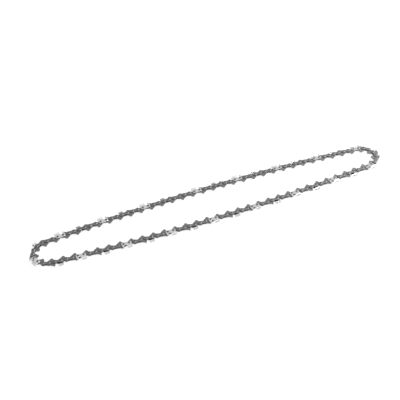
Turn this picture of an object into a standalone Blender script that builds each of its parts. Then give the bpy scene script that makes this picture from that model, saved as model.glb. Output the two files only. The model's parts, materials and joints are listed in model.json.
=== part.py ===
"""A low-profile saw chain, laid flat as a closed loop on its side.

The loop lies in the XY plane with its long axis along X, and its rivets stand along Z.
Each link is drawn in its own frame: x points the way the chain runs, y points out of the
loop, z goes across the chain, and the two rivets lie on x, half a pitch either side of 0.
Lengths are in metres.
"""
import math

import bmesh
import bpy
from mathutils import Matrix, Vector

# The chain: how many drive links, how far apart its rivets are, and what cuts
DRIVE_LINKS = 69
RIVET_SPACING = 0.00932
CUTTERS = DRIVE_LINKS // 2
LINKS = 2 * DRIVE_LINKS
LINKS_PER_CUTTER = 4
CUTTERS_BEFORE_JOIN = 27

# The loop: the small turn of each rivet along the strands, and the width of the round ends
STRAND_TURN = math.radians(0.16)
END_HALF_WIDTH = 3.57
END_SHARPNESS = 10

# The chain is 60 stretches of two or three links, each turning on its neighbour's rivet
STRETCHES = 60
FIRST_LINK = 1

# Sheet and rivets
DRIVE_THICKNESS = 0.0013
STRAP_THICKNESS = 0.0012
SIDE_CLEARANCE = 0.0003
RIVET_RADIUS = 0.0017
RIVET_CLEARANCE = 0.0003
RIVET_SIDES = 6

# Round ends of every flat link
END_RADIUS = 0.0036
END_POINT_ANGLES = (60, 0, -60)

# Tie strap: its waist on the outer edge, and the arch between its two feet on the rail
STRAP_WAIST = 0.0026
ARCH_TOP = (0.0016, -0.0019)
ARCH_SPRING = 0.0031

# Drive link: the tang that runs in the bar's groove, and the ramp of the guard link
TANG_DEPTH = 0.0088
TANG_TIP_FRONT = 0.0003
TANG_TIP_WIDTH = 0.0022
TANG_SCOOP = (0.0036, -0.0062)
TANG_HEEL = (-0.0040, -0.0054)
RAMP_HEIGHT = 0.0070
RAMP_PEAK = -0.0010
RAMP_BACK = -0.0036

# Cutter: its foot, depth gauge and gullet, then the side plate that folds over as the top plate
SIDE_PLATE_REAR = -0.0083
SIDE_PLATE_FRONT = 0.0006
SIDE_PLATE_BEND = 0.0044
GULLET_REAR = (0.0024, 0.0027)
GULLET_FRONT = (0.0044, 0.0035)
GAUGE_HEIGHT = 0.0079
GAUGE_REAR = 0.0056
GAUGE_FRONT = 0.0072
GAUGE_SHOULDER = (0.0081, 0.0046)
KERF_HALF_WIDTH = 0.0036
TOP_PLATE_HEIGHT = 0.0085
FLARE_BELOW_TOP = 0.002
TOP_PLATE_INNER_EDGE = -0.0009
TOP_PLATE_ANGLE = math.radians(30)
TOP_PLATE_DROP = 0.0006
CORNER_LEAD = 0.0003

# Heights of the faces above the chain's middle plane
DRIVE_FACE = DRIVE_THICKNESS / 2
STRAP_INNER_FACE = DRIVE_FACE + SIDE_CLEARANCE
STRAP_OUTER_FACE = STRAP_INNER_FACE + STRAP_THICKNESS
STRAP_MIDDLE = (STRAP_INNER_FACE + STRAP_OUTER_FACE) / 2
HOLE_RADIUS = (RIVET_RADIUS + RIVET_CLEARANCE) / math.cos(math.pi / RIVET_SIDES)
REAR_RIVET = -RIVET_SPACING / 2
FRONT_RIVET = RIVET_SPACING / 2

# The side plate flares outwards up to here, and the top plate's sheet lies above it
FLARE_TOP = TOP_PLATE_HEIGHT - FLARE_BELOW_TOP
TOP_PLATE_UNDERSIDE = TOP_PLATE_HEIGHT - STRAP_THICKNESS


def clear_scene():
    for item in list(bpy.data.objects):
        bpy.data.objects.remove(item)


def new_collection(name):
    group = bpy.data.collections.new(name)
    bpy.context.scene.collection.children.link(group)
    return group


def steel(name, colour, roughness, metallic):
    material = bpy.data.materials.new(name)
    material.use_nodes = True
    shader = material.node_tree.nodes["Principled BSDF"]
    shader.inputs["Base Color"].default_value = (*colour, 1)
    shader.inputs["Roughness"].default_value = roughness
    shader.inputs["Metallic"].default_value = metallic
    return material


def round_point(centre_x, radius, degrees):
    angle = math.radians(degrees)
    return centre_x + radius * math.cos(angle), radius * math.sin(angle)


def front_end():
    """The round end about the front rivet, from its top to its bottom."""
    return [round_point(FRONT_RIVET, END_RADIUS, angle) for angle in END_POINT_ANGLES]


def rear_end():
    """The same end about the rear rivet, from its bottom to its top."""
    return [(-x, y) for x, y in reversed(front_end())]


def rivet_circle(centre_x, radius):
    turns = [360 * side / RIVET_SIDES for side in range(RIVET_SIDES)]
    return [round_point(centre_x, radius, turn) for turn in turns]


def evaluated_mesh(shape):
    """A plain mesh of an object as its modifiers leave it, with the object taken away."""
    depsgraph = bpy.context.evaluated_depsgraph_get()
    mesh = bpy.data.meshes.new_from_object(shape.evaluated_get(depsgraph))
    bpy.data.objects.remove(shape)
    return mesh


def stamped(name, outline, low, high, holes=()):
    """A flat piece stamped from sheet, from height low to height high."""
    curve = bpy.data.curves.new(name, "CURVE")
    curve.dimensions = "2D"
    curve.fill_mode = "BOTH"
    curve.extrude = (high - low) / 2
    for ring in [outline] + [rivet_circle(x, HOLE_RADIUS) for x in holes]:
        spline = curve.splines.new("POLY")
        spline.points.add(len(ring) - 1)
        spline.use_cyclic_u = True
        for point, (x, y) in zip(spline.points, ring):
            point.co = (x, y, 0, 1)
    shape = bpy.data.objects.new(name, curve)
    bpy.context.scene.collection.objects.link(shape)
    mesh = evaluated_mesh(shape)
    bpy.data.curves.remove(curve)
    sheet = bmesh.new()
    sheet.from_mesh(mesh)
    bmesh.ops.remove_doubles(sheet, verts=sheet.verts, dist=0.00001)
    bmesh.ops.recalc_face_normals(sheet, faces=sheet.faces)
    bmesh.ops.translate(sheet, verts=sheet.verts, vec=(0, 0, (low + high) / 2))
    sheet.to_mesh(mesh)
    sheet.free()
    return mesh


def turned_over(mesh):
    """The same piece mirrored across the middle plane, for the other side of the chain."""
    copy = mesh.copy()
    copy.transform(Matrix.Scale(-1, 4, Vector((0, 0, 1))))
    copy.flip_normals()
    return copy


def drive_link(guard, holes):
    """The middle link, with a hole wherever a neighbour's rivet turns in it."""
    tang = [
        TANG_SCOOP,
        (TANG_TIP_FRONT, -TANG_DEPTH),
        (TANG_TIP_FRONT - TANG_TIP_WIDTH, -TANG_DEPTH),
        TANG_HEEL,
    ]
    # The guard's ramp rises towards the cutter behind it, beside that cutter's depth gauge
    ramp = [(RAMP_BACK, RAMP_HEIGHT), (RAMP_PEAK, RAMP_HEIGHT)] if guard else []
    outline = front_end() + tang + rear_end() + ramp
    return stamped("drive_link", outline, -DRIVE_FACE, DRIVE_FACE, holes)


def tie_strap():
    """Two flat feet on the rail with an arch between them, and a waist on the outer edge."""
    front = front_end()
    rail = front[-1][1]
    front_half = [(ARCH_SPRING, rail), ARCH_TOP]
    rear_half = [(-x, y) for x, y in reversed(front_half)]
    outline = front + front_half + rear_half + rear_end() + [(0, STRAP_WAIST)]
    return stamped("tie_strap", outline, STRAP_INNER_FACE, STRAP_OUTER_FACE)


def rivet():
    """A rivet's shank, from the middle of one strap to the middle of the other."""
    shank = bmesh.new()
    bmesh.ops.create_cone(
        shank, cap_ends=True, segments=RIVET_SIDES,
        radius1=RIVET_RADIUS, radius2=RIVET_RADIUS, depth=2 * STRAP_MIDDLE,
    )
    mesh = bpy.data.meshes.new("rivet")
    shank.to_mesh(mesh)
    shank.free()
    return mesh


def foot_outline():
    """The cutter before it is bent: foot, depth gauge, gullet and the root of its side plate."""
    front = front_end()
    rear = rear_end()
    return [
        front[1],
        front[2],
        rear[0],
        rear[1],
        (SIDE_PLATE_REAR, SIDE_PLATE_BEND),
        (SIDE_PLATE_FRONT, SIDE_PLATE_BEND),
        GULLET_REAR,
        GULLET_FRONT,
        (GAUGE_REAR, GAUGE_HEIGHT),
        (GAUGE_FRONT, GAUGE_HEIGHT),
        GAUGE_SHOULDER,
    ]


def side_plate_rings():
    """Where the bent sheet's edge lies after each fold: height out of the loop, and across."""
    inner_side = KERF_HALF_WIDTH - STRAP_THICKNESS
    flare = {"out": (FLARE_TOP, KERF_HALF_WIDTH), "in": (FLARE_TOP, inner_side)}
    corner = {
        "out": (TOP_PLATE_HEIGHT, KERF_HALF_WIDTH),
        "in": (TOP_PLATE_UNDERSIDE, inner_side),
    }
    edge = {
        "out": (TOP_PLATE_HEIGHT, TOP_PLATE_INNER_EDGE),
        "in": (TOP_PLATE_UNDERSIDE, TOP_PLATE_INNER_EDGE),
    }
    return flare, corner, edge


def cutting_edge(across, height):
    """The front edge recedes from the working corner across the top plate."""
    lead = SIDE_PLATE_FRONT
    if height >= TOP_PLATE_UNDERSIDE:
        lead += CORNER_LEAD - (KERF_HALF_WIDTH - across) * math.tan(TOP_PLATE_ANGLE)
    return lead


def cutter():
    """A right-hand cutter: its sheet is folded outwards, then over the chain."""
    mesh = stamped("cutter", foot_outline(), STRAP_INNER_FACE, STRAP_OUTER_FACE)
    sheet = bmesh.new()
    sheet.from_mesh(mesh)
    sheet.faces.ensure_lookup_table()

    def is_bend(face):
        centre = face.calc_center_median()
        between = SIDE_PLATE_REAR < centre.x < SIDE_PLATE_FRONT
        return between and face.normal.y > 0.99 and abs(centre.y - SIDE_PLATE_BEND) < SIDE_CLEARANCE

    face = next(face for face in sheet.faces if is_bend(face))
    place = {}
    for corner in face.verts:
        along = "front" if corner.co.x > REAR_RIVET else "rear"
        place[corner] = (along, "out" if corner.co.z > STRAP_MIDDLE else "in")
    for ring in side_plate_rings():
        extruded = bmesh.ops.extrude_face_region(sheet, geom=[face])["geom"]
        moved = [item for item in extruded if isinstance(item, bmesh.types.BMVert)]
        next_place = {}
        for corner in moved:
            old = min(place, key=lambda other: (other.co - corner.co).length)
            next_place[corner] = place[old]
        new_face = next(item for item in extruded if isinstance(item, bmesh.types.BMFace))
        if face.is_valid:
            bmesh.ops.delete(sheet, geom=[face], context="FACES_ONLY")
        for corner, (along, side) in next_place.items():
            height, across = ring[side]
            if along == "front":
                corner.co = (cutting_edge(across, height), height, across)
            else:
                drop = TOP_PLATE_DROP if height > FLARE_TOP else 0
                corner.co = (SIDE_PLATE_REAR, height - drop, across)
        face = new_face
        place = next_place
    bmesh.ops.recalc_face_normals(sheet, faces=sheet.faces)
    sheet.to_mesh(mesh)
    sheet.free()
    return mesh


def rivet_turns():
    """The angle turned at the rivet after each link.

    Both halves of the loop turn alike and half a turn each, so the loop closes exactly.
    """
    ends = (DRIVE_LINKS - 1, LINKS - 1)
    weights = []
    for link in range(LINKS):
        nearest = min(abs((link + 0.5 - end + DRIVE_LINKS) % LINKS - DRIVE_LINKS) for end in ends)
        weights.append(1 / (1 + (nearest / END_HALF_WIDTH) ** END_SHARPNESS))
    left = 2 * math.pi - LINKS * STRAND_TURN
    return [STRAND_TURN + left * weight / sum(weights) for weight in weights]


def lay_out():
    """The place of each rivet, and each link's frame, with the loop's long axis along X."""
    heading = 0.0
    rivets = [Vector((0, 0))]
    headings = []
    for turn in rivet_turns():
        headings.append(heading)
        step = Vector((math.cos(heading), math.sin(heading))) * RIVET_SPACING
        rivets.append(rivets[-1] + step)
        heading += turn
    rivets.pop()
    middles = [(rivets[i] + rivets[(i + 1) % LINKS]) / 2 for i in range(LINKS)]
    long_axis = middles[DRIVE_LINKS - 1] - middles[LINKS - 1]
    tilt = -math.atan2(long_axis.y, long_axis.x)
    centre = sum(rivets, Vector((0, 0))) / LINKS
    turn_back = Matrix.Rotation(tilt, 2)
    rivets = [turn_back @ (point - centre) for point in rivets]
    frames = []
    for middle, heading in zip(middles, headings):
        spot = turn_back @ (middle - centre)
        facing = Matrix.Rotation(heading + tilt + math.pi, 4, "Z")
        frames.append(Matrix.Translation((spot.x, spot.y, 0)) @ facing)
    return rivets, frames


def cutter_links():
    """Each cutter's link number; one extra pair of links joins the loop after the 27th."""
    extra = LINKS - LINKS_PER_CUTTER * CUTTERS
    return [
        LINKS_PER_CUTTER * number + (extra if number >= CUTTERS_BEFORE_JOIN else 0)
        for number in range(CUTTERS)
    ]


def stretch_starts():
    """The first link of each stretch, the same in both halves of the loop."""
    shares = [number * LINKS / STRETCHES for number in range(STRETCHES + 1)]
    return [FIRST_LINK + math.floor(share + 0.5) for share in shares]


def joined(name, pieces, helpers):
    """One solid of the links and rivets of a stretch, which overlap where they are riveted."""
    shapes = []
    for mesh, frame in pieces:
        copy = mesh.copy()
        copy.transform(frame)
        shapes.append(bpy.data.objects.new(name, copy))
    bpy.context.scene.collection.objects.link(shapes[0])
    for shape in shapes[1:]:
        shape.hide_render = True
        shape.display_type = "WIRE"
        helpers.objects.link(shape)
    union = shapes[0].modifiers.new("riveted", "BOOLEAN")
    union.operation = "UNION"
    union.operand_type = "COLLECTION"
    union.collection = helpers
    mesh = evaluated_mesh(shapes[0])
    for shape in shapes[1:]:
        bpy.data.objects.remove(shape)
    return mesh


def stand_on_floor(parent, items):
    """Moves the whole chain so that its box is centred on the origin and stands on it."""
    corners = [item.location + vertex.co for item in items for vertex in item.data.vertices]
    low = [min(corner[axis] for corner in corners) for axis in range(3)]
    high = [max(corner[axis] for corner in corners) for axis in range(3)]
    parent.location = (-(low[0] + high[0]) / 2, -(low[1] + high[1]) / 2, -low[2])


def main():
    clear_scene()
    chain = new_collection("saw_chain")
    helpers = new_collection("link_shapes")
    dark_steel = steel("dark_steel", (0.10, 0.10, 0.11), 0.42, 0.9)
    chrome = steel("chrome", (0.72, 0.70, 0.68), 0.22, 1.0)

    upper_strap = tie_strap()
    lower_strap = turned_over(upper_strap)
    right_cutter = cutter()
    left_cutter = turned_over(right_cutter)
    shank = rivet()
    outer_pairs = {
        "right_cutter": [right_cutter, lower_strap],
        "left_cutter": [left_cutter, upper_strap],
        "tie_straps": [upper_strap, lower_strap],
    }

    rivets, frames = lay_out()
    hands = {link: ("right_cutter", "left_cutter")[n % 2] for n, link in enumerate(cutter_links())}
    guards = {link - 1 for link in hands} | {LINKS_PER_CUTTER * CUTTERS_BEFORE_JOIN - 1}
    guards = {link % LINKS for link in guards}

    parent = bpy.data.objects.new("chain_origin", None)
    chain.objects.link(parent)
    items = []
    starts = stretch_starts()
    for number in range(STRETCHES):
        first, last = starts[number], starts[number + 1] - 1
        pieces = []
        kind = "tie_straps"
        for place in range(first, last + 1):
            link = place % LINKS
            frame = frames[link]
            if link % 2:
                holes = [FRONT_RIVET] * (place == first) + [REAR_RIVET] * (place == last)
                pieces.append((drive_link(link in guards, holes), frame))
                continue
            outer = hands.get(link, "tie_straps")
            if outer != "tie_straps":
                kind = outer
            pieces += [(mesh, frame) for mesh in outer_pairs[outer]]
            for x in (REAR_RIVET, FRONT_RIVET):
                pieces.append((shank, frame @ Matrix.Translation((x, 0, 0))))
        name = f"{kind}_{number + 1:02d}"
        pivot = Vector((*rivets[first % LINKS], 0))
        mesh = joined(name, pieces, helpers)
        mesh.transform(Matrix.Translation(-pivot))
        mesh.shade_flat()
        mesh.materials.clear()
        mesh.materials.append(dark_steel if kind == "tie_straps" else chrome)
        item = bpy.data.objects.new(name, mesh)
        item.location = pivot
        item.parent = parent
        chain.objects.link(item)
        items.append(item)
    stand_on_floor(parent, items)


main()
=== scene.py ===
# %% [markdown]
# # A saw chain laid flat
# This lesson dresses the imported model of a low-profile saw chain. A real one is stamped from
# sheet steel and riveted: 69 drive links run in the guide bar's groove. 34 cutters, each with a
# tie strap opposite, and 35 pairs of tie straps join them, with 138 rivets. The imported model
# already has every link in its place. What it lacks is what the eye reads up close: round
# ends, punched edges, peened rivet heads, ground cutting edges, and the finish of blued steel
# and hard chrome.

import json
import math

import bmesh
import bpy
from mathutils import Matrix, Vector

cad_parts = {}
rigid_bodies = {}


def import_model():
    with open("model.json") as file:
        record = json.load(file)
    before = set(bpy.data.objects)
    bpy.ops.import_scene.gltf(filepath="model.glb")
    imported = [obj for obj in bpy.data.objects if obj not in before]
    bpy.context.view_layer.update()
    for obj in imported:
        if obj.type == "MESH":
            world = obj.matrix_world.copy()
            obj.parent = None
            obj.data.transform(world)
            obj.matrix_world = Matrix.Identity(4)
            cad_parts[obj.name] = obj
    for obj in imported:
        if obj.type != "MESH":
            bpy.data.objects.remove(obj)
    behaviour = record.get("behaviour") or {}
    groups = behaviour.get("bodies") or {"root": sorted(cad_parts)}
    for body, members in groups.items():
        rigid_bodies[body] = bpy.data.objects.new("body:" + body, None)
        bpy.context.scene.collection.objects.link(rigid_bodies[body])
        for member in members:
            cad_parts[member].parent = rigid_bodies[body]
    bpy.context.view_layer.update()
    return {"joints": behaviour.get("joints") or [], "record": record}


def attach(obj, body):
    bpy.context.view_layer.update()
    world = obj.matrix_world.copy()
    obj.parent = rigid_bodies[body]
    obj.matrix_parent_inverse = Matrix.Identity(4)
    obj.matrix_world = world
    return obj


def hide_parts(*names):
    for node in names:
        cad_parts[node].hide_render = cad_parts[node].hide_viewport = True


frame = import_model()

# %% [markdown]
# ## Sizes
# A chain maker gives three sizes: the pitch, the gauge and the number of drive links. Pitch is
# the length of two links, so the rivets stand 9.32 mm apart. The gauge, 1.3 mm, is the sheet of
# the drive links. Every other size here is in millimetres too and is drawn from these. They
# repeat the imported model's own sizes, because each new piece has to lie where its solid lies.

# %% Sizes of the chain, in millimetres
MM = 0.001
DRIVE_LINKS = 69
LINKS = 2 * DRIVE_LINKS
LINKS_PER_CUTTER = 4
JOINING_LINK = 108
PITCH = 9.32
DRIVE_THICKNESS = 1.3
STRAP_THICKNESS = 1.2
SIDE_CLEARANCE = 0.3
END_RADIUS = 3.6
RIVET_RADIUS = 1.7
HALF_HEIGHT = 3.6
FRONT = PITCH / 2
REAR = -PITCH / 2
DRIVE_FACE = DRIVE_THICKNESS / 2
STRAP_INSIDE = DRIVE_FACE + SIDE_CLEARANCE
STRAP_OUTSIDE = STRAP_INSIDE + STRAP_THICKNESS
RAIL_SIDE = -END_RADIUS * math.sin(math.radians(60))
print("length round the loop, mm:", round(LINKS * PITCH, 1))

# %% [markdown]
# ## Writing node trees as sums
# Blender's node trees can be built in the editor or in code. In code they are hard to read,
# because a sum of two values is five lines. This small class wraps a node's socket, so that
# `a + b` adds a Math node and joins it. The same class serves Geometry Nodes and shaders.

# %% A socket that Python can do sums with
class Wire:
    """An output socket of a node. Sums on it add Math nodes to its tree."""

    def __init__(self, sketch, socket):
        self.sketch = sketch
        self.socket = socket

    def maths(self, operation, *others):
        return self.sketch.node("ShaderNodeMath", {"operation": operation}, {
            place: value for place, value in enumerate((self, *others))
        })

    def turned(self, operation, other):
        return self.sketch.node("ShaderNodeMath", {"operation": operation}, {0: other, 1: self})

    def __add__(self, other):
        return self.maths("ADD", other)

    def __sub__(self, other):
        return self.maths("SUBTRACT", other)

    def __mul__(self, other):
        return self.maths("MULTIPLY", other)

    def __truediv__(self, other):
        return self.maths("DIVIDE", other)

    def __mod__(self, other):
        return self.maths("FLOORED_MODULO", other)

    def __pow__(self, other):
        return self.maths("POWER", other)

    def __gt__(self, other):
        return self.maths("GREATER_THAN", other)

    def __lt__(self, other):
        return self.maths("LESS_THAN", other)

    def __abs__(self):
        return self.maths("ABSOLUTE")

    def __rsub__(self, other):
        return self.turned("SUBTRACT", other)

    def __rtruediv__(self, other):
        return self.turned("DIVIDE", other)

    __radd__ = __add__
    __rmul__ = __mul__


class Sketch:
    """A node tree that is being drawn."""

    def __init__(self, tree):
        self.tree = tree

    def join(self, socket, value):
        if isinstance(value, Wire):
            self.tree.links.new(value.socket, socket)
        else:
            socket.default_value = value

    def node(self, kind, settings=None, values=None, output=0):
        """Any node: its type, its settings, which come first, and what its sockets get."""
        made = self.tree.nodes.new(kind)
        for name, setting in (settings or {}).items():
            setattr(made, name, setting)
        for name, value in (values or {}).items():
            self.join(made.inputs[name], value)
        return Wire(self, made.outputs[output])

    def vector(self, operation, first, second):
        return self.node("ShaderNodeVectorMath", {"operation": operation},
                         {0: first, 1: second})


def geometry_sketch(name, inputs):
    """A new Geometry Nodes tree with named inputs: (name, kind of socket, value)."""
    tree = bpy.data.node_groups.new(name, "GeometryNodeTree")
    tree.interface.new_socket("Geometry", in_out="OUTPUT", socket_type="NodeSocketGeometry")
    for label, kind, value in inputs:
        socket = tree.interface.new_socket(label, in_out="INPUT", socket_type=kind)
        if value is not None:
            socket.default_value = value
    group_in = tree.nodes.new("NodeGroupInput")
    sketch = Sketch(tree)
    return sketch, {label: Wire(sketch, group_in.outputs[label]) for label, _, _ in inputs}


def close_sketch(sketch, geometry):
    group_out = sketch.tree.nodes.new("NodeGroupOutput")
    sketch.join(group_out.inputs["Geometry"], geometry)
    return sketch.tree

# %% [markdown]
# ## The loop, from a rule
# Laid on its side, a new chain springs into a long flat loop. It could be traced as a curve,
# but then the rivets would stand at uneven steps. A chain is its links: each is one pitch step
# on, turned a little from the last. So the tree gives every rivet an angle, small along the
# strands and large round the two ends, and Accumulate Field adds the angles up into headings
# and the steps into places. Both halves turn alike and half a turn each, so the loop closes.

# %% Lay out the links with Geometry Nodes
# The middle of each round end lies this many links before the first link of its half
END_LEAD = 1.5


def loop_tree():
    sketch, size = geometry_sketch("saw_chain_loop", [
        ("Links", "NodeSocketInt", LINKS),
        ("Rivet spacing", "NodeSocketFloat", PITCH * MM),
        ("Strand turn", "NodeSocketFloat", math.radians(0.16)),
        ("End half width", "NodeSocketFloat", 3.57),
        ("End sharpness", "NodeSocketFloat", 10.0),
        ("Joining link", "NodeSocketInt", JOINING_LINK),
        ("Centre", "NodeSocketVector", (0, 0, 0)),
    ])
    half = size["Links"] / 2
    points = sketch.node("GeometryNodeMeshLine", {}, {"Count": size["Links"]})
    index = sketch.node("GeometryNodeInputIndex")

    def total(value, output, kind="FLOAT"):
        return sketch.node("GeometryNodeAccumulateField", {"data_type": kind},
                           {"Value": value}, output)

    # How far each rivet is from the nearer round end, counted in links
    near = abs((index + (half / 2 + END_LEAD)) % half - half / 2)
    weight = 1 / (1 + (near / size["End half width"]) ** size["End sharpness"])
    left = 2 * math.pi - size["Links"] * size["Strand turn"]
    turn = size["Strand turn"] + left * weight / total(weight, "Total")
    heading = total(turn, "Trailing")
    step = sketch.node("ShaderNodeCombineXYZ", {}, {
        "X": size["Rivet spacing"] * heading.maths("COSINE"),
        "Y": size["Rivet spacing"] * heading.maths("SINE"),
    })
    rivet = total(step, "Trailing", "FLOAT_VECTOR")
    middle = sketch.vector("ADD", rivet, sketch.vector("MULTIPLY", step, (0.5, 0.5, 0.5)))

    # Turn the long axis along X and bring the middle of the loop to its centre
    def at(number):
        return sketch.node(
            "GeometryNodeSampleIndex", {"data_type": "FLOAT_VECTOR"},
            {"Geometry": points, "Value": middle, "Index": number},
        )

    along = sketch.vector("SUBTRACT", at(half - 1), at(size["Links"] - 1))
    parts = sketch.node("ShaderNodeSeparateXYZ", {}, {"Vector": along})
    across = Wire(sketch, parts.socket.node.outputs["Y"])
    tilt = across.maths("ARCTAN2", parts)
    mean = sketch.node("ShaderNodeVectorMath", {"operation": "SCALE"}, {
        0: total(rivet, "Total", "FLOAT_VECTOR"), "Scale": 1 / size["Links"],
    })
    level = sketch.node("ShaderNodeVectorRotate", {"rotation_type": "Z_AXIS"}, {
        "Vector": sketch.vector("SUBTRACT", middle, mean), "Angle": 0 - tilt,
    })
    place = sketch.vector("ADD", level, size["Centre"])

    # Every second link is a drive link. Every fourth is a cutter, right and left in turn,
    # with one more pair of links where the chain is joined. A drive link just ahead of a
    # cutter has a guard. Kinds: 0 plain and 1 guard drive link, 2 straps, 3 and 4 cutters.
    # Whole numbers are told apart by the half that lies between them
    is_drive = index % 2
    joint = size["Joining link"]
    behind = (index + 1) - 2 * ((index + 1) > joint)
    is_guard = (behind % LINKS_PER_CUTTER) < 0.5
    own = index - 2 * (index > (joint - 1))
    is_cutter = (own % LINKS_PER_CUTTER) < 0.5
    is_left = (own % (2 * LINKS_PER_CUTTER)) > 0.5
    kind = is_drive * is_guard + (1 - is_drive) * (2 + is_cutter * (1 + is_left))

    for name, value in (("heading", heading - tilt), ("kind", kind)):
        points = sketch.node("GeometryNodeStoreNamedAttribute", {"domain": "POINT"}, {
            "Geometry": points, "Name": name, "Value": value,
        })
    points = sketch.node("GeometryNodeSetPosition", {}, {"Geometry": points, "Position": place})
    return close_sketch(sketch, points)


def set_inputs(modifier, values):
    """Inputs of a nodes modifier are set by the socket's identifier, not by its name."""
    for item in modifier.node_group.interface.items_tree:
        if item.in_out == "INPUT" and item.name in values:
            modifier[item.identifier] = values[item.name]


def grown(name, tree, values):
    """What a node tree makes, as a plain mesh with no modifier."""
    seed = bpy.data.objects.new(name, bpy.data.meshes.new("empty"))
    bpy.context.scene.collection.objects.link(seed)
    modifier = seed.modifiers.new(tree.name, "NODES")
    modifier.node_group = tree
    set_inputs(modifier, values)
    depsgraph = bpy.context.evaluated_depsgraph_get()
    mesh = bpy.data.meshes.new_from_object(seed.evaluated_get(depsgraph))
    bpy.data.objects.remove(seed)
    return mesh


loop = loop_tree()
first_layout = grown("loop", loop, {})
print("links laid out:", len(first_layout.vertices))

# %% [markdown]
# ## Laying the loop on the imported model
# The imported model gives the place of 59 of its rivets as joints. Comparing them with the rule
# does two jobs: the mean difference is where the loop's middle lies, and what is left over
# shows that both follow the same rule.

# %% Find the middle of the loop from the joints
STRETCHES = 60
headings = [item.value for item in first_layout.attributes["heading"].data]
half_steps = [Vector((math.cos(h), math.sin(h), 0)) * PITCH * MM / 2 for h in headings]
rivets = [v.co - half_step for v, half_step in zip(first_layout.vertices, half_steps)]
starts = [1 + math.floor(number * LINKS / STRETCHES + 0.5) for number in range(STRETCHES + 1)]
gaps = []
for joint in frame["joints"]:
    number = int(joint["name"].split("_")[1]) - 1
    gaps.append(Vector(joint["pos_m"]) - rivets[starts[number] % LINKS])
centre = sum(gaps, Vector((0, 0, 0))) / len(gaps)
print("middle of the loop:", tuple(centre))
print("largest difference, mm:", max((gap - centre).length for gap in gaps) / MM)

# %% [markdown]
# ## Outlines
# A die's outline is arcs about the rivets and rounded corners between them. Curves drawn by
# hand would do, but an arc from two angles and a corner from three points and a radius are how
# a toolmaker gives them, and sizes can then be changed one by one.

# %% Arcs and rounded corners
def arc(centre_x, centre_y, radius, start, end, steps):
    """Points on a circle from one angle to another, in degrees."""
    turns = [math.radians(start + (end - start) * k / steps) for k in range(steps + 1)]
    return [(centre_x + radius * math.cos(t), centre_y + radius * math.sin(t)) for t in turns]


def rounded(corners, steps=4):
    """A line through corners (x, y, radius), with each corner rounded. Its ends stay sharp."""
    points = [corners[0][:2]]
    for before, corner, after in zip(corners, corners[1:], corners[2:]):
        here = Vector(corner[:2])
        back = (Vector(before[:2]) - here).normalized()
        ahead = (Vector(after[:2]) - here).normalized()
        half_angle = back.angle(ahead) / 2
        reach = corner[2] / math.tan(half_angle)
        centre = here + (back + ahead).normalized() * corner[2] / math.sin(half_angle)
        first = here + back * reach - centre
        last = here + ahead * reach - centre
        sweep = first.angle_signed(last)
        for k in range(steps + 1):
            spoke = first.copy()
            spoke.rotate(Matrix.Rotation(-sweep * k / steps, 2))
            points.append(tuple(centre + spoke))
    return points + [corners[-1][:2]]


def mirrored(points):
    """The same line on the other end of a link, from its far end back."""
    return [(-x, y) for x, y in reversed(points)]


print("an eighth of a circle:", arc(0, 0, 1, 0, 45, 1))

# %% [markdown]
# ## Stamped sheet
# Every link is punched from strip. A press leaves round ends about the rivets, smooth curves
# between them, and a small rounded edge where the die pulled the sheet down. The outline could
# be cut from a cube with Booleans, but a filled curve is closer to the real die: it takes the
# holes with it, and its own bevel makes the punched edge. The finish needs to know where that
# edge is and which way the link runs, so both are stored in the mesh: `edge` is 1 on the
# bevelled faces, and `spot` is the place on the link, which stays with it wherever it lies.

# %% The press
EDGE = 0.14
HOLE_SIDES = 12
SAME_POINT = 0.002
LEAST_SLANT = 0.2
MOST_SLANT = 0.95


def store(mesh, name, kind, domain, values):
    attribute = mesh.attributes.new(name, kind, domain)
    slot = "vector" if kind == "FLOAT_VECTOR" else "value"
    flat = [number for value in values for number in (value if slot == "vector" else [value])]
    attribute.data.foreach_set(slot, flat)


def mark(mesh, is_edge, is_ground=lambda face: False):
    """Scales a mesh from millimetres to metres and stores what its finish will read."""
    store(mesh, "spot", "FLOAT_VECTOR", "POINT", [v.co * MM for v in mesh.vertices])
    store(mesh, "edge", "FLOAT", "FACE", [float(is_edge(face)) for face in mesh.polygons])
    store(mesh, "ground", "FLOAT", "FACE", [float(is_ground(face)) for face in mesh.polygons])
    mesh.transform(Matrix.Scale(MM, 4))
    mesh.shade_flat()
    return mesh


def stamped(name, outline, low, high, holes=(), edge=EDGE):
    """A flat piece punched from sheet, in millimetres, with rounded edges and round holes."""
    curve = bpy.data.curves.new(name, "CURVE")
    curve.dimensions = "2D"
    curve.fill_mode = "BOTH"
    curve.extrude = (high - low) / 2 - edge
    curve.bevel_depth = edge
    curve.bevel_resolution = 0
    curve.offset = -edge
    last_turn = 360 / HOLE_SIDES
    rings = [outline] + [arc(x, 0, RIVET_RADIUS, 360, last_turn, HOLE_SIDES - 1) for x in holes]
    for ring in rings:
        spline = curve.splines.new("POLY")
        spline.points.add(len(ring) - 1)
        spline.use_cyclic_u = True
        for point, (x, y) in zip(spline.points, ring):
            point.co = (x, y, 0, 1)
    shape = bpy.data.objects.new(name, curve)
    bpy.context.scene.collection.objects.link(shape)
    depsgraph = bpy.context.evaluated_depsgraph_get()
    mesh = bpy.data.meshes.new_from_object(shape.evaluated_get(depsgraph))
    bpy.data.objects.remove(shape)
    sheet = bmesh.new()
    sheet.from_mesh(mesh)
    bmesh.ops.remove_doubles(sheet, verts=sheet.verts, dist=SAME_POINT)
    bmesh.ops.recalc_face_normals(sheet, faces=sheet.faces)
    bmesh.ops.translate(sheet, verts=sheet.verts, vec=(0, 0, (low + high) / 2))
    sheet.to_mesh(mesh)
    sheet.free()
    return mesh


def is_slanted(face):
    return LEAST_SLANT < abs(face.normal.z) < MOST_SLANT


def turned_over(mesh):
    """The same piece mirrored across the chain's middle plane."""
    copy = mesh.copy()
    copy.transform(Matrix.Scale(-1, 4, Vector((0, 0, 1))))
    copy.flip_normals()
    return copy


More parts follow.
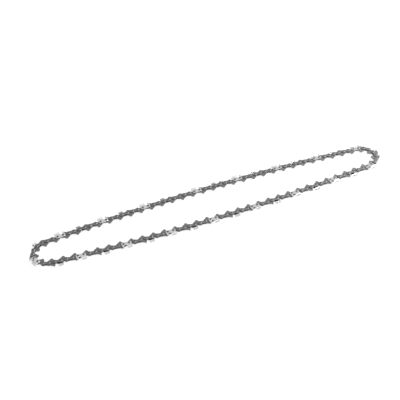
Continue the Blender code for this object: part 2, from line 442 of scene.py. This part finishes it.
def merged(name, *meshes):
    """One mesh of several that lie side by side."""
    both = bmesh.new()
    for mesh in meshes:
        both.from_mesh(mesh)
    joined = bpy.data.meshes.new(name)
    both.to_mesh(joined)
    both.free()
    return joined


print("punched edge, mm:", EDGE)

# %% [markdown]
# ## Tie straps
# Tie straps are the outer layers. Towards the wood they have a waist, a hollow arc that meets
# both round ends. Towards the rail they stand on two flat feet with an arch between them. Half
# of the rail side is drawn and then mirrored, so both feet are alike.

# %% A tie strap
LINK_END_STEPS = 10
WAIST_HEIGHT = 2.75
WAIST_RADIUS = (FRONT**2 + WAIST_HEIGHT**2 - END_RADIUS**2) / (2 * (END_RADIUS - WAIST_HEIGHT))
waist_angle = math.degrees(math.atan2(WAIST_HEIGHT + WAIST_RADIUS, FRONT))
waist = arc(0, WAIST_HEIGHT + WAIST_RADIUS, WAIST_RADIUS, waist_angle - 180, -waist_angle, 6)
front_end = arc(FRONT, 0, END_RADIUS, 180 - waist_angle, -60, LINK_END_STEPS)
half_rail = rounded([(FRONT + END_RADIUS / 2, RAIL_SIDE, 0), (3.1, RAIL_SIDE, 1.2),
                     (1.6, -1.9, 2.0), (0, -1.9, 0)])[:-1]
rail_arch = half_rail + mirrored(half_rail)
strap_outline = front_end + rail_arch[1:-1] + mirrored(front_end) + waist[1:-1]
upper_strap = mark(stamped("strap", strap_outline, STRAP_INSIDE, STRAP_OUTSIDE, (REAR, FRONT)),
                   is_slanted)
print("tie strap:", len(strap_outline), "points,", len(upper_strap.polygons), "faces")

# %% [markdown]
# ## Drive links
# The drive link is the middle layer. Its tang points into the loop and rides in the bar's
# groove. It is broad where it leaves the links, has a shoulder in front, and ends in a blunt
# tip. The guard link has a ramp as well, which lifts wood over the depth gauge behind it. Both
# are one outline with or without the ramp, so one function draws the two.

# %% Drive link outlines
DRIVE_EDGE = 0.11


def drive_outline(guard):
    nose = arc(FRONT, 0, END_RADIUS, 62 if guard else 180 - waist_angle, -62, LINK_END_STEPS)
    heel = arc(REAR, 0, END_RADIUS, 236, 105 if guard else waist_angle, LINK_END_STEPS)
    tang = rounded([nose[-1] + (0,), (4.4, -6.0, 3.0), (2.6, -6.5, 1.2), (0.6, -8.8, 0.5),
                    (-1.9, -8.8, 0.8), (-3.9, -5.3, 3.0), heel[0] + (0,)])
    outer = waist
    if guard:
        outer = rounded([heel[-1] + (0,), (-5.1, 4.1, 1.0), (-3.7, 7.0, 0.7), (-1.0, 7.0, 1.8),
                         nose[0] + (0,)])
    return nose + tang[1:-1] + heel + outer[1:-1]


drive_links = [
    mark(stamped("drive", drive_outline(guard), -DRIVE_FACE, DRIVE_FACE, (REAR, FRONT),
                 DRIVE_EDGE), is_slanted)
    for guard in (False, True)
]
print("drive link faces:", [len(mesh.polygons) for mesh in drive_links])

# %% [markdown]
# ## Rivets
# A rivet has a thick hub, on which the drive link turns, and two thinner ends. They are spun
# over the straps and show as low round heads with a small dimple from the tool. Such a turned
# shape is a profile on a lathe. bmesh's spin would do it, but a short loop that lays rings of
# points keeps both poles closed and its 138 copies light.

# %% Turn a rivet
RIVET_SIDES = 12
HEAD_RADIUS = 2.25
HEAD_HEIGHT = 0.38
DIMPLE = 0.12
half_profile = [(0.6, HEAD_HEIGHT), (1.8, HEAD_HEIGHT - 0.06), (HEAD_RADIUS, 0.0),
                (RIVET_RADIUS, 0.0)]


def lathe(profile, sides):
    """A closed turned shape: rings of points (radius, height) from the top down, in mm."""
    lathed = bmesh.new()
    rings = []
    for radius, height in profile:
        spokes = [2 * math.pi * side / sides for side in range(sides)]
        rings.append([lathed.verts.new((radius * math.cos(t), radius * math.sin(t), height))
                      for t in spokes])
    for upper, lower in zip(rings, rings[1:]):
        for side in range(sides):
            after = (side + 1) % sides
            lathed.faces.new((upper[side], lower[side], lower[after], upper[after]))
    for ring, dip in ((rings[0], -DIMPLE), (rings[-1], DIMPLE)):
        pole = lathed.verts.new((0, 0, ring[0].co.z + dip))
        for side in range(sides):
            lathed.faces.new((ring[side], ring[(side + 1) % sides], pole))
    bmesh.ops.recalc_face_normals(lathed, faces=lathed.faces)
    mesh = bpy.data.meshes.new("rivet")
    lathed.to_mesh(mesh)
    lathed.free()
    return mesh


top_half = [(radius, STRAP_OUTSIDE + height) for radius, height in half_profile]
rivet = lathe(top_half + [(radius, -height) for radius, height in reversed(top_half)],
              RIVET_SIDES)
front_rivet = rivet.copy()
front_rivet.transform(Matrix.Translation((FRONT, 0, 0)))
rivet.transform(Matrix.Translation((REAR, 0, 0)))
rivet_pair = mark(merged("rivet_pair", rivet, front_rivet), lambda face: False)
print("faces on one rivet:", len(rivet.polygons))

# %% [markdown]
# ## Cutters
# A cutter starts as one flat blank. Its foot is riveted like a strap. Ahead stands the depth
# gauge, which sets how deep the tooth bites, and behind the gullet the sheet folds twice: first
# outwards as the side plate, to cut wider than the chain, then over the chain as the top plate.
# A Bevel and some Booleans could imitate the folds. Following the sheet is simpler: the edge of
# the foot where it folds is one face, and pushing that face along the sheet's own path draws
# the bends and both plates. The front of the plates is ground back, and that is what cuts.

# %% The blank and the path of its sheet
FOLD_REAR = -8.3
FOLD_FRONT = 0.6
FOLD_HEIGHT = 4.4
TOP_HEIGHT = 8.5
TOP_INNER_EDGE = -0.9
TOP_ANGLE = math.radians(30)
TOP_DROP = 0.6
SIDE_RELIEF = 0.2
CORNER_LEAD = 0.3
HOLLOW = 0.8
GRIND = 0.7
SHEET = STRAP_THICKNESS
side_across = HALF_HEIGHT - SHEET / 2
top_height = TOP_HEIGHT - SHEET / 2
sheet_path = rounded([(FOLD_HEIGHT, STRAP_INSIDE + SHEET / 2, 0),
                      (4.85, STRAP_INSIDE + SHEET / 2, 0.9), (6.3, side_across, 0.9),
                      (top_height, side_across, 1.0), (top_height, TOP_INNER_EDGE, 0)], 4)
foot = ([(FRONT + END_RADIUS, 0)] + arc(FRONT, 0, END_RADIUS, -10, -60, 4)
        + arc(REAR, 0, END_RADIUS, -120, -180, 5)
        + [(FOLD_REAR, FOLD_HEIGHT), (FOLD_FRONT, FOLD_HEIGHT)]
        + rounded([(0.75, 3.9, 0), (1.9, 2.5, 1.3), (4.2, 2.6, 1.3), (5.6, 7.9, 0.5),
                   (7.2, 7.9, 0.9), (8.1, 4.6, 4.0), (FRONT + END_RADIUS, 0.6, 0)]))


print("steps along the sheet:", len(sheet_path), "points on the foot:", len(foot))

# %% [markdown]
# ## Folding and grinding
# The rear edges are relieved: they drop and draw in a little, so that only the front cuts. The
# front edge is hollow up the side plate and runs back at 30 degrees across the top plate. Both
# are worked out at each step of the sheet's path, so the folds and the grind need no Booleans.

# %% Fold and grind a cutter
PLAIN_EDGE = 0.0001
BLANK_POINT = 0.01
FLAT_ANGLE = 0.02
TOP_PLATE_STARTS = 0.95
SHARP_ANGLE = math.radians(38)
BROKEN_EDGE = 0.12


def ground_front(number, side):
    """Where the front edge lies at each step of the fold: hollow, then slanted across."""
    height, across = sheet_path[number]
    climb = min(1, max(0, (height - FOLD_HEIGHT) / (top_height - FOLD_HEIGHT)))
    hollow = CORNER_LEAD * climb - HOLLOW * math.sin(math.pi * climb)
    slant = 0
    if climb > TOP_PLATE_STARTS:
        slant = max(0, side_across - across) * math.tan(TOP_ANGLE)
    set_back = GRIND * number / (len(sheet_path) - 1) if side == "in" else 0
    return FOLD_FRONT + hollow - slant - set_back


def next_ring(sheet, number, roles):
    """The corners of the sheet at one step of its path."""
    here = Vector(sheet_path[number])
    before = Vector(sheet_path[number - 1])
    after = Vector(sheet_path[min(number + 1, len(sheet_path) - 1)])
    along = ((here - before).normalized() + (after - here).normalized()).normalized()
    outward = Vector((-along.y, along.x)) * SHEET / 2
    share = number / (len(sheet_path) - 1)
    ring = []
    for end, side in roles:
        height, across = here + (outward if side == "out" else -outward)
        if end == "front":
            x = ground_front(number, side)
        else:
            x = FOLD_REAR
            height -= TOP_DROP * share
            across -= SIDE_RELIEF * share
        ring.append(sheet.verts.new((x, height, across)))
    return ring


def fold(sheet, ring, ground):
    """Draws the sheet on from the edge of the foot, and marks its front faces as ground."""
    middle = (STRAP_INSIDE + STRAP_OUTSIDE) / 2
    roles = [("front" if v.co.x > REAR else "rear", "out" if v.co.z > middle else "in")
             for v in ring]
    for number in range(1, len(sheet_path)):
        new_ring = next_ring(sheet, number, roles)
        for k in range(len(ring)):
            after_k = (k + 1) % len(ring)
            made = sheet.faces.new((ring[k], ring[after_k], new_ring[after_k], new_ring[k]))
            if roles[k][0] == roles[after_k][0] == "front":
                made[ground] = 1
        ring = new_ring
    sheet.faces.new(ring)


def cutter():
    mesh = stamped("cutter", foot, STRAP_INSIDE, STRAP_OUTSIDE, (REAR, FRONT), PLAIN_EDGE)
    sheet = bmesh.new()
    sheet.from_mesh(mesh)
    ground = sheet.faces.layers.int.new("is_ground")
    bmesh.ops.remove_doubles(sheet, verts=sheet.verts, dist=BLANK_POINT)
    bmesh.ops.dissolve_limit(sheet, angle_limit=FLAT_ANGLE, verts=sheet.verts,
                             edges=sheet.edges)
    face = next(f for f in sheet.faces if f.normal.y > 0.99
                and abs(f.calc_center_median().y - FOLD_HEIGHT) < BLANK_POINT)
    ring = list(face.verts)
    sheet.faces.remove(face)
    fold(sheet, ring, ground)
    bmesh.ops.recalc_face_normals(sheet, faces=sheet.faces)
    sheet.normal_update()
    sharp = [e for e in sheet.edges if len(e.link_faces) == 2
             and e.calc_face_angle() > SHARP_ANGLE
             and not any(f[ground] for v in e.verts for f in v.link_faces)]
    bmesh.ops.bevel(sheet, geom=sharp, offset=BROKEN_EDGE, segments=1, affect="EDGES")
    bmesh.ops.recalc_face_normals(sheet, faces=sheet.faces)
    sheet.to_mesh(mesh)
    sheet.free()
    marks = [item.value for item in mesh.attributes["is_ground"].data]
    mark(mesh, is_slanted, lambda face: marks[face.index])
    mesh.attributes.remove(mesh.attributes["is_ground"])
    return mesh


right_cutter = cutter()
left_cutter = turned_over(right_cutter)
lower_strap = turned_over(upper_strap)
print("faces on one cutter:", len(right_cutter.polygons))

# %% [markdown]
# ## One tree places them all
# Every piece on the chain is one of these shapes standing on a link. Copying objects in a
# Python loop would do, but the tree already knows where each link is, which way it heads and
# what kind it is, so it can stand the right shape on the right links by itself. Each body of the
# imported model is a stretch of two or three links, so the tree keeps the links of one stretch,
# and picks one shape from a collection for each kind of link.

# %% The placing tree
def placing_tree():
    sketch, size = geometry_sketch("links_of_a_stretch", [
        ("First link", "NodeSocketInt", 0),
        ("How many links", "NodeSocketInt", 1),
        ("Lowest kind", "NodeSocketInt", 0),
        ("Highest kind", "NodeSocketInt", 4),
        ("Shapes", "NodeSocketCollection", None),
        ("Material", "NodeSocketMaterial", None),
        ("Centre", "NodeSocketVector", (0, 0, 0)),
    ])
    laid = sketch.node("GeometryNodeGroup", {"node_tree": loop}, {"Centre": size["Centre"]})
    index = sketch.node("GeometryNodeInputIndex")
    heading, kind = (
        sketch.node("GeometryNodeInputNamedAttribute", {}, {"Name": name})
        for name in ("heading", "kind")
    )
    on_stretch = ((index - size["First link"]) % LINKS) < size["How many links"]
    is_kind = (kind > (size["Lowest kind"] - 0.5)) * (kind < (size["Highest kind"] + 0.5))
    shapes = sketch.node("GeometryNodeCollectionInfo", {}, {
        "Collection": size["Shapes"], "Separate Children": True, "Reset Children": True,
    })
    # The index runs against the way the chain runs, so each link is turned half round
    facing = sketch.node("ShaderNodeCombineXYZ", {}, {"Z": heading + math.pi})
    standing = sketch.node("GeometryNodeInstanceOnPoints", {}, {
        "Points": laid, "Selection": on_stretch * is_kind, "Instance": shapes,
        "Pick Instance": True, "Instance Index": kind - size["Lowest kind"],
        "Rotation": facing,
    })
    for name in ("heading", "kind"):
        standing = sketch.node("GeometryNodeRemoveAttribute", {},
                               {"Geometry": standing, "Name": name})
    real = sketch.node("GeometryNodeRealizeInstances", {}, {"Geometry": standing})
    return close_sketch(sketch, sketch.node("GeometryNodeSetMaterial", {}, {
        "Geometry": real, "Material": size["Material"],
    }))


placing = placing_tree()
print("nodes in the placing tree:", len(placing.nodes))

# %% [markdown]
# ## Finishes
# Three metals show on a chain, and each has patterns of several sizes: clouds, mottle, grain.
# Painted images would blur on so small a part, so each pattern is noise or a wave. It reads
# either the place in the object or `spot`, the place on the link. This class holds the nodes
# that they share, and one function makes a metal from its colour, its roughness and its relief.

# %% A metal drawn with nodes
BUMP_DEPTH = 0.05
FINE = 4
MEDIUM = 3


def grey(level, warm=0.0):
    return (level * (1 + warm), level, level * (1 - warm), 1)


class Finish:
    """The node tree of one metal, and the patterns that it is drawn with."""

    def __init__(self, sketch):
        self.sketch = sketch
        self.place = sketch.node("ShaderNodeTexCoord", {}, {}, "Object")
        self.spot = sketch.node("ShaderNodeAttribute", {"attribute_name": "spot"}, {}, "Vector")

    def stored(self, name):
        """What the press or the grinder stored on each face: 0 or 1."""
        return self.sketch.node("ShaderNodeAttribute", {"attribute_name": name}, {}, "Fac")

    def noise(self, size_mm, detail=2.0, where=None):
        """Noise from 0 to 1 whose blots are about this many millimetres across."""
        return self.sketch.node("ShaderNodeTexNoise", {}, {
            "Vector": self.place if where is None else where,
            "Scale": 1 / (size_mm * MM), "Detail": detail,
        }, "Fac")

    def mix(self, share, first, second):
        """A colour between two others. Inputs 6 and 7 of Mix are its colours, output 2 too."""
        return self.sketch.node("ShaderNodeMix", {"data_type": "RGBA"},
                                {"Factor": share, 6: first, 7: second}, 2)


def metal(name, colour, roughness, relief, strength, bare=1.0):
    """A metal drawn with nodes. An oxide skin leaves less of it bare."""
    material = bpy.data.materials.new(name)
    material.use_nodes = True
    sketch = Sketch(material.node_tree)
    finish = Finish(sketch)
    shader = material.node_tree.nodes["Principled BSDF"]
    shader.inputs["Metallic"].default_value = bare
    sketch.join(shader.inputs["Base Color"], colour(finish))
    sketch.join(shader.inputs["Roughness"], roughness(finish))
    bump = sketch.node("ShaderNodeBump", {}, {
        "Strength": strength, "Distance": BUMP_DEPTH * MM, "Height": relief(finish),
    })
    sketch.join(shader.inputs["Normal"], bump)
    return material


print("a light and a dark grey:", grey(0.5), grey(0.1))

# %% [markdown]
# ## Blued steel
# The drive links and straps are hardened, then blued or blackened in hot salts and oiled. The
# result is a dark grey metal, a little cloudy, with fine grain, and brighter where the punched
# edges have been tumbled. The blueing is an oxide, and an oxide isn't a metal, so the shader is
# less than half metallic. One slow noise makes the clouds, a fine one the grain, and the stored
# `edge` the bright rims.

# %% Blued steel for drive links and straps
BLUED_DARK = grey(0.076, -0.03)
BLUED_LIGHT = grey(0.110, 0.02)
BLUED_GRAIN = grey(0.081, 0.03)
TUMBLED_RIM = grey(0.25)
BLUED_BARE = 0.45


def blued_colour(finish):
    clouds = finish.mix(finish.noise(14), BLUED_DARK, BLUED_LIGHT)
    grained = finish.mix(finish.noise(0.5, FINE) * 0.5, clouds, BLUED_GRAIN)
    tumbled = finish.stored("edge") * (0.25 + 0.5 * finish.noise(3))
    return finish.mix(tumbled, grained, TUMBLED_RIM)


def blued_roughness(finish):
    return 0.34 + 0.2 * finish.noise(0.6, FINE) - 0.08 * finish.stored("edge")


def blued_relief(finish):
    return finish.noise(0.35, MEDIUM)


blued_steel = metal("blued_steel", blued_colour, blued_roughness, blued_relief, 0.35,
                    BLUED_BARE)
print("nodes in the blued steel:", len(blued_steel.node_tree.nodes))

# %% [markdown]
# ## Hard chrome and rivet steel
# Cutters are plated with hard chrome, which stays bright under the oil. It is not a mirror: the
# sheet below is ground and tumbled, so it is satin with a faint mottle. The front faces are
# ground last and show fine lines across. Rivets are left plain, and the tool that spins their
# heads leaves rings about each one. Both patterns are drawn in the link's own coordinates, so
# they sit the same way on every link.

# %% Chrome with ground faces, and rings on the rivets
CHROME_DARK = grey(0.53, 0.012)
CHROME_LIGHT = grey(0.61, 0.012)
GROUND_DARK = grey(0.55)
GROUND_LIGHT = grey(0.80)
ALONG_THE_LINES = (0.2, 1.0, 1.0)
LINE_WIDTH = 0.12
RIVET_DARK = grey(0.105, 0.01)
RIVET_LIGHT = grey(0.15, 0.01)
RIVET_STAIN = grey(0.08)
RING_WAVES = 14


def chrome_colour(finish):
    mottled = finish.mix(finish.noise(2.5), CHROME_DARK, CHROME_LIGHT)
    drawn_out = finish.sketch.vector("MULTIPLY", finish.spot, ALONG_THE_LINES)
    lines = finish.noise(LINE_WIDTH, where=drawn_out)
    ground = finish.mix(lines, GROUND_DARK, GROUND_LIGHT)
    return finish.mix(finish.stored("ground"), mottled, ground)


def chrome_roughness(finish):
    return 0.12 + 0.1 * finish.noise(1.2, MEDIUM) + 0.1 * finish.stored("ground")


def chrome_relief(finish):
    return finish.noise(0.6, MEDIUM)


def rings(finish):
    """Waves from -1 to 1 that run outwards from the nearer rivet's axis."""
    x, y = (
        finish.sketch.node("ShaderNodeSeparateXYZ", {}, {"Vector": finish.spot}, axis)
        for axis in "XY"
    )
    from_rivet_mm = ((abs(x) - FRONT * MM) ** 2 + abs(y) ** 2) ** 0.5 / MM
    return (from_rivet_mm * RING_WAVES).maths("SINE")


def rivet_colour(finish):
    ringed = finish.mix(0.5 + 0.5 * rings(finish), RIVET_DARK, RIVET_LIGHT)
    return finish.mix(finish.noise(1.5) * 0.6, ringed, RIVET_STAIN)


def rivet_roughness(finish):
    return 0.26 + 0.16 * finish.noise(0.8)


chrome = metal("hard_chrome", chrome_colour, chrome_roughness, chrome_relief, 0.15)
rivet_steel = metal("rivet_steel", rivet_colour, rivet_roughness, rings, 0.25)
print("materials:", [item.name for item in (blued_steel, chrome, rivet_steel)])

# %% [markdown]
# ## Dress every stretch
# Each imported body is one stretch, and its solid is one fused piece, because the model may have
# no more bodies. Here every stretch is taken apart again into what a maker would name: drive
# links, strap plates, rivets and, where it has one, a cutter. Each piece rides on its body, so
# the chain still bends at the same rivets.

# %% Build the pieces of each stretch
def shape_shelf(name, meshes):
    """A collection that holds the shapes the tree picks from, in order."""
    shelf = bpy.data.collections.new(name)
    bpy.context.scene.collection.children.link(shelf)
    for number, mesh in enumerate(meshes):
        shelf.objects.link(bpy.data.objects.new(f"{name}_{number}", mesh))
    return shelf


both_straps = merged("both_straps", upper_strap, lower_strap)
# Lowest and highest kind of link, a shape for each kind between them, material, slot
kits = {
    "drive_links": (0, 1, drive_links, blued_steel, "dark_steel"),
    "strap_plates": (2, 4, [both_straps, lower_strap, upper_strap], blued_steel, "dark_steel"),
    "rivets": (2, 4, [rivet_pair], rivet_steel, "dark_steel"),
    "cutter": (3, 4, [right_cutter, left_cutter], chrome, "chrome"),
}
shelves = {name: shape_shelf(name, shapes) for name, (_, _, shapes, _, _) in kits.items()}
faces = 0
pieces = []
for body, members in frame["record"]["behaviour"]["bodies"].items():
    number = int(body.split("_")[1])
    for name, (lowest, highest, _, material, slot) in kits.items():
        mesh = grown(f"{name}_{number:02d}", placing, {
            "First link": starts[number - 1],
            "How many links": starts[number] - starts[number - 1],
            "Lowest kind": lowest, "Highest kind": highest, "Shapes": shelves[name],
            "Material": material, "Centre": centre,
        })
        if not mesh.polygons:
            continue
        piece = bpy.data.objects.new(f"{name}_{number:02d}", mesh)
        bpy.context.scene.collection.objects.link(piece)
        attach(piece, body)
        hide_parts(*members)
        faces += len(mesh.polygons)
        pieces.append(piece)
for shelf in shelves.values():
    for shape in list(shelf.objects):
        bpy.data.objects.remove(shape)
    bpy.data.collections.remove(shelf)
print("pieces:", len(pieces), "faces:", faces)

# %% [markdown]
# ## Studio
# The chain lies on a white sweep in soft, even light. Bright metal shows its surroundings, so
# the surroundings do most of the work: a white room, a wide lamp in front that the flared
# side plates show, and a lamp on the right that makes that end lighter. The floor and room are
# whiter to the camera and to reflections than to the light that falls on the chain.

# %% Floor, room and lamps
FLOOR_SIZE = 6
PAPER_COLOUR = (0.9, 0.9, 0.9, 1)
PAPER_ROUGHNESS = 0.9
PAPER_GLOW = 0.9
ROOM_LIGHT = 0.85


def light_path(sketch):
    """1 for what the camera sees straight on or in a reflection, and 0 for light on matter."""
    rays = [
        sketch.node("ShaderNodeLightPath", {}, {}, word)
        for word in ("Is Camera Ray", "Is Glossy Ray", "Is Transmission Ray")
    ]
    return rays[0].maths("MAXIMUM", rays[1]).maths("MAXIMUM", rays[2])


def white_floor():
    sheet = bmesh.new()
    bmesh.ops.create_grid(sheet, x_segments=1, y_segments=1, size=FLOOR_SIZE)
    mesh = bpy.data.meshes.new("floor")
    sheet.to_mesh(mesh)
    sheet.free()
    material = bpy.data.materials.new("white_paper")
    material.use_nodes = True
    sketch = Sketch(material.node_tree)
    shader = material.node_tree.nodes["Principled BSDF"]
    shader.inputs["Base Color"].default_value = PAPER_COLOUR
    shader.inputs["Roughness"].default_value = PAPER_ROUGHNESS
    glow = sketch.node("ShaderNodeEmission", {}, {"Color": (1, 1, 1, 1), "Strength": 1.0})
    seen = sketch.node("ShaderNodeMixShader", {}, {
        0: light_path(sketch) * PAPER_GLOW, 1: Wire(sketch, shader.outputs[0]), 2: glow,
    })
    out = material.node_tree.nodes["Material Output"]
    sketch.join(out.inputs["Surface"], seen)
    mesh.materials.append(material)
    floor = bpy.data.objects.new("floor", mesh)
    bpy.context.scene.collection.objects.link(floor)


def white_room():
    world = bpy.data.worlds.new("room")
    world.use_nodes = True
    bpy.context.scene.world = world
    sketch = Sketch(world.node_tree)
    backdrop = world.node_tree.nodes["Background"]
    backdrop.inputs["Color"].default_value = (1, 1, 1, 1)
    strength = ROOM_LIGHT + (1 - ROOM_LIGHT) * light_path(sketch)
    sketch.join(backdrop.inputs["Strength"], strength)


def lamp(name, place, target, size, power):
    light = bpy.data.lights.new(name, "AREA")
    light.shape = "RECTANGLE"
    light.size, light.size_y = size
    light.energy = power
    stand = bpy.data.objects.new(name, light)
    stand.location = place
    stand.rotation_euler = (Vector(target) - Vector(place)).to_track_quat("-Z", "Y").to_euler()
    bpy.context.scene.collection.objects.link(stand)
    print("lamp:", name, "watts:", power)


white_floor()
white_room()
lamp("right_lamp", (0.95, -0.1, 0.85), (0.3, 0.0, 0.0), (0.8, 0.8), 38)
lamp("front_lamp", (-0.05, -0.5, 1.3), (0.0, 0.0, 0.0), (1.5, 0.9), 5)
bpy.context.scene.view_settings.view_transform = "Standard"

# %% [markdown]
# ## Camera
# The photograph is taken with a long lens from in front and well above, a little to the left.
# Its place was found by fitting: the rule gives where each cutter is, and the camera was moved
# until all of them fell where the photograph shows them.

# %% Camera of the photograph
SENSOR_WIDTH = 36
IMAGE_WIDTH = 400
FOCAL_PIXELS = 883.6
ELEVATION = math.radians(44.517)
ROLL = math.radians(1.851)
DISTANCE = 1480.5 * MM
LOOP_TURN = math.radians(20.763)
LOOP_SHIFT = Vector((21.21, -6.126, 0)) * MM
CAMERA_RISE = 1.4 * MM

photo_to_frame = (Matrix.Translation(centre) @ Matrix.Rotation(-LOOP_TURN, 4, "Z")
                  @ Matrix.Translation(Vector((0, 0, CAMERA_RISE)) - LOOP_SHIFT))
back = Vector((0, -math.cos(ELEVATION), math.sin(ELEVATION)))
up = Vector((0, math.sin(ELEVATION), math.cos(ELEVATION)))
right = Vector((1, 0, 0))
axes = Matrix((
    right * math.cos(ROLL) - up * math.sin(ROLL),
    right * math.sin(ROLL) + up * math.cos(ROLL),
    back,
)).transposed()
camera_data = bpy.data.cameras.new("camera")
camera_data.sensor_width = SENSOR_WIDTH
camera_data.lens = FOCAL_PIXELS / IMAGE_WIDTH * SENSOR_WIDTH
camera = bpy.data.objects.new("camera", camera_data)
camera.matrix_world = photo_to_frame @ Matrix.Translation(back * DISTANCE) @ axes.to_4x4()
bpy.context.scene.collection.objects.link(camera)
bpy.context.scene.camera = camera
print("lens, mm:", round(camera_data.lens, 1), "camera at", tuple(camera.location))
